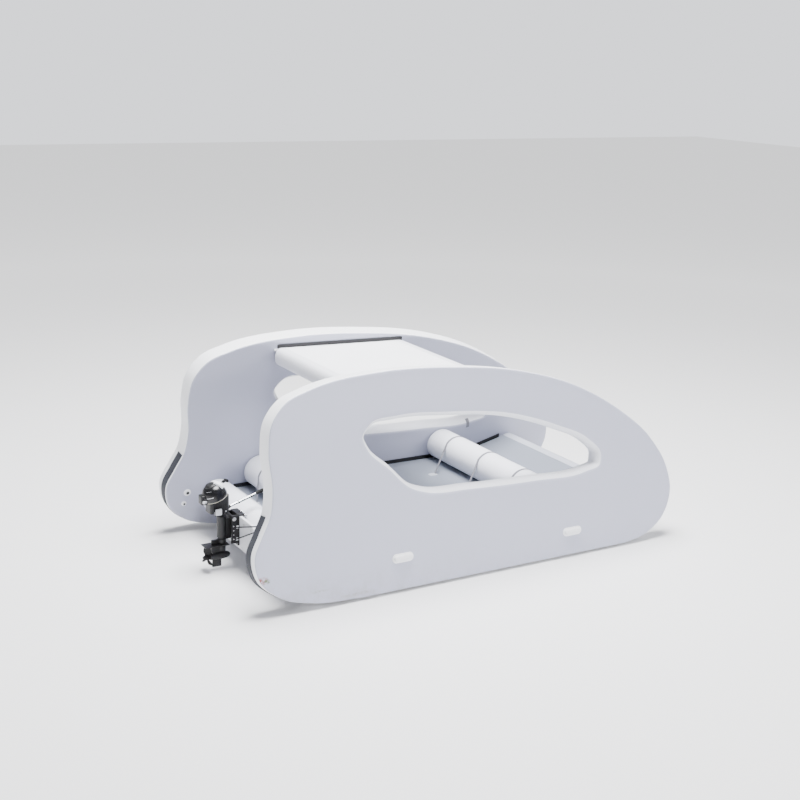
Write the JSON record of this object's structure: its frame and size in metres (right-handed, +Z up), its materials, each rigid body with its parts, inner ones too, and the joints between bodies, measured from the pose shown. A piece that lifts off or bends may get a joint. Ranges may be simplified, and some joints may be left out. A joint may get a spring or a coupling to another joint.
{
  "type": "inflatable catamaran",
  "caption": "Inflatable catamaran with tall side panels, long side windows, roof panel, raised floor, roll seats and a small outboard motor on the stern tube.",
  "frame": {"origin": "middle of the bounding box at the level of the hull bottoms", "axes": "+X towards the bow, +Y to port, +Z up"},
  "size_m": [3.8028, 2.0358, 1.6467],
  "materials": {
    "board_white": "satin",
    "cast_black": "satin paint",
    "cowl_black": "gloss",
    "moulded_black": "satin",
    "moulded_white": "satin",
    "panel_grey": "coated fabric, satin",
    "panel_white": "coated fabric, satin",
    "rope_black": "woven",
    "rubber_grey": "matt",
    "strip_black": "matt",
    "tube_silver": "polished",
    "webbing_grey": "woven"
  },
  "bodies": {
    "boat": {"hull_starboard": "panel_grey", "hull_port": "panel_grey", "rub_strip_starboard": "rubber_grey", "rub_strip_port": "rubber_grey", "floor_panel": "panel_white", "roof_panel": "panel_white", "floor_strip_starboard": "strip_black", "roof_strip_starboard": "strip_black", "floor_strip_port": "strip_black", "roof_strip_port": "strip_black", "transom_tube": "panel_white", "seat_roll_rear": "panel_white", "seat_strap_rear_port": "webbing_grey", "seat_strap_rear_centre": "webbing_grey", "seat_strap_rear_starboard": "webbing_grey", "seat_roll_middle": "panel_white", "seat_strap_middle_port": "webbing_grey", "seat_strap_middle_centre": "webbing_grey", "seat_strap_middle_starboard": "webbing_grey", "handle_starboard_aft": "moulded_white", "handle_starboard_bow": "moulded_white", "hang_tab_starboard": "webbing_grey", "valve_starboard_upper": "moulded_white", "valve_starboard_lower": "moulded_white", "handle_port_aft": "moulded_white", "handle_port_bow": "moulded_white", "hang_tab_port": "webbing_grey", "valve_port_upper": "moulded_white", "valve_port_lower": "moulded_white", "transom_valve": "moulded_black", "motor_board": "board_white", "clamp_bracket": "cast_black", "clamp_screw_starboard": "tube_silver", "clamp_screw_port": "tube_silver", "stern_line_upper": "rope_black", "stern_line_lower": "rope_black"},
    "tilt_part": {"swivel_bracket": "cast_black"},
    "motor": {"leg": "cast_black", "gear_case": "cast_black", "motor_pan": "cast_black", "engine_cover": "cowl_black", "starter_cover": "cast_black", "tiller_arm": "tube_silver", "tiller_grip": "moulded_black"},
    "propeller": {"propeller": "moulded_black"}
  },
  "joints": [
    {"name": "motor_tilt", "type": "hinge", "parent": "boat", "child": "tilt_part", "pos_m": [-1.668, 0, 0.412], "axis": [0, 1, 0], "range_deg": [0, 25]},
    {"name": "motor_steer", "type": "hinge", "parent": "tilt_part", "child": "motor", "pos_m": [-1.745, 0, 0.412], "axis": [0, 0, 1], "range_deg": [-40, 40]},
    {"name": "propeller_spin", "type": "hinge", "parent": "motor", "child": "propeller", "pos_m": [-1.8628, 0, 0.113], "axis": [1, 0, 0], "continuous": true}
  ]
}
